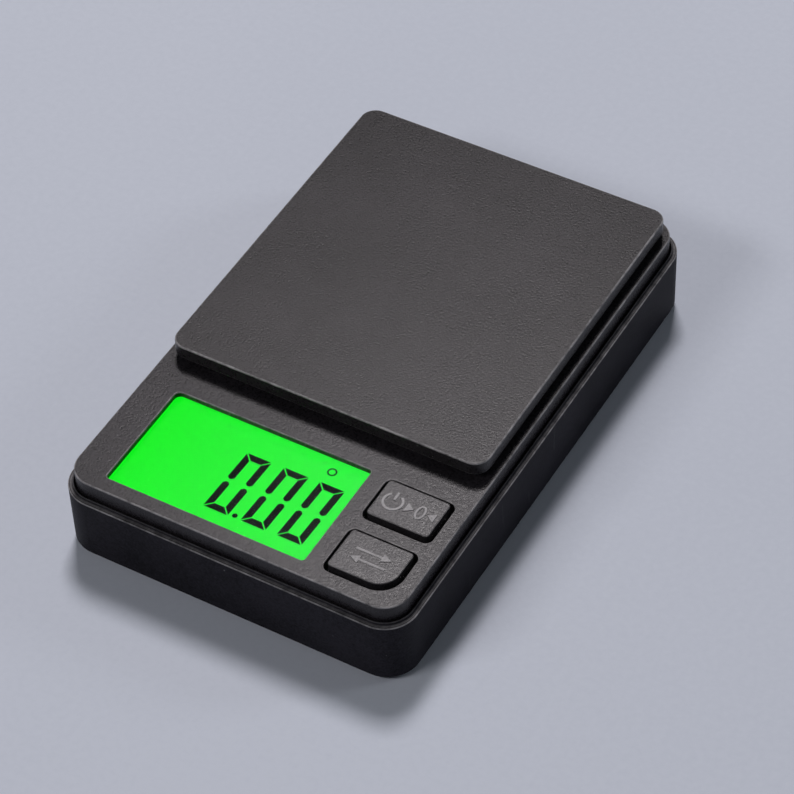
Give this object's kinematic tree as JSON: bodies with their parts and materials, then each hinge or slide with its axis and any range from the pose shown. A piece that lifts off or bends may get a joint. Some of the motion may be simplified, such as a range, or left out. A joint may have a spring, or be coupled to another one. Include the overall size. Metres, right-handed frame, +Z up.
{
  "type": "digital gram scale",
  "caption": "Pocket digital gram scale: black plastic case with a raised deck, green backlit display, power and mode keys, and a flat square-cornered weighing platform.",
  "frame": {"origin": "the surface that the scale stands on, under the middle of its case", "axes": "+X across the scale towards its keys, +Y from the display end towards the platform end, +Z up"},
  "size_m": [0.0564, 0.088, 0.018],
  "materials": {
    "case_plastic": "matte",
    "platform_plastic": "matte",
    "key_plastic": "matte",
    "lens": "gloss",
    "lcd_green": "gloss",
    "lcd_glass": "gloss",
    "light_guide": "gloss",
    "led_package": "gloss",
    "white_plastic": "satin",
    "grey_rubber": "matte",
    "switch_plastic": "satin",
    "plunger_plastic": "satin",
    "circuit_board": "satin",
    "epoxy": "satin",
    "capacitor_sleeve": "gloss",
    "steel": "satin",
    "nickel": "satin",
    "aluminium": "satin",
    "gauge_resin": "matte",
    "battery_wrap": "gloss",
    "red_insulation": "satin",
    "black_insulation": "satin",
    "grey_insulation": "satin",
    "foot_rubber": "matte"
  },
  "bodies": {
    "scale_case": {"bottom_shell": "case_plastic", "top_cover": "case_plastic", "display_window": "lens", "lcd_front_glass": "lcd_green", "lcd_rear_glass": "lcd_glass", "backlight_guide": "light_guide", "backlight_led": "led_package", "display_frame": "white_plastic", "display_connector": "grey_rubber", "main_pcb": "circuit_board", "controller_chip": "epoxy", "converter_chip": "epoxy", "crystal": "steel", "capacitor": "capacitor_sleeve", "board_screw_left": "steel", "board_screw_right": "steel", "power_switch": "switch_plastic", "mode_switch": "switch_plastic", "load_cell": "aluminium", "load_cell_spacer": "steel", "load_cell_screw_inner": "steel", "load_cell_screw_outer": "steel", "strain_gauge_top": "gauge_resin", "strain_gauge_bottom": "gauge_resin", "overload_stop": "steel", "battery_front": "battery_wrap", "battery_rear": "battery_wrap", "battery_bridge_plate": "nickel", "battery_positive_plate": "nickel", "battery_negative_plate": "nickel", "battery_bridge_spring": "nickel", "battery_negative_spring": "nickel", "positive_wire": "red_insulation", "negative_wire": "black_insulation", "load_cell_lead": "grey_insulation", "case_screw_front_left": "steel", "case_screw_front_right": "steel", "case_screw_rear_left": "steel", "case_screw_rear_right": "steel", "foot_front_left": "foot_rubber", "foot_front_right": "foot_rubber", "foot_rear_left": "foot_rubber", "foot_rear_right": "foot_rubber"},
    "platform": {"weighing_platform": "platform_plastic", "platform_carrier": "case_plastic", "platform_pad_left": "grey_rubber", "platform_pad_right": "grey_rubber", "carrier_screw_inner": "steel", "carrier_screw_outer": "steel"},
    "power_key": {"power_tare_key": "key_plastic", "power_switch_plunger": "plunger_plastic"},
    "mode_key": {"mode_key": "key_plastic", "mode_switch_plunger": "plunger_plastic"},
    "battery_door": {"battery_door": "case_plastic"}
  },
  "joints": [
    {"name": "platform_deflection", "type": "slide", "parent": "scale_case", "child": "platform", "axis": [0, 0, -1], "range_m": [0, 0.00025], "stiffness_N_per_m": 14000},
    {"name": "power_key_press", "type": "slide", "parent": "scale_case", "child": "power_key", "axis": [0, 0, -1], "range_m": [0, 0.0005], "stiffness_N_per_m": 2500},
    {"name": "mode_key_press", "type": "slide", "parent": "scale_case", "child": "mode_key", "axis": [0, 0, -1], "range_m": [0, 0.0005], "stiffness_N_per_m": 2500},
    {"name": "battery_door_tilt", "type": "hinge", "parent": "scale_case", "child": "battery_door", "pos_m": [0, 0.04, 0.0013], "axis": [1, 0, 0], "range_deg": [0, 60]}
  ]
}
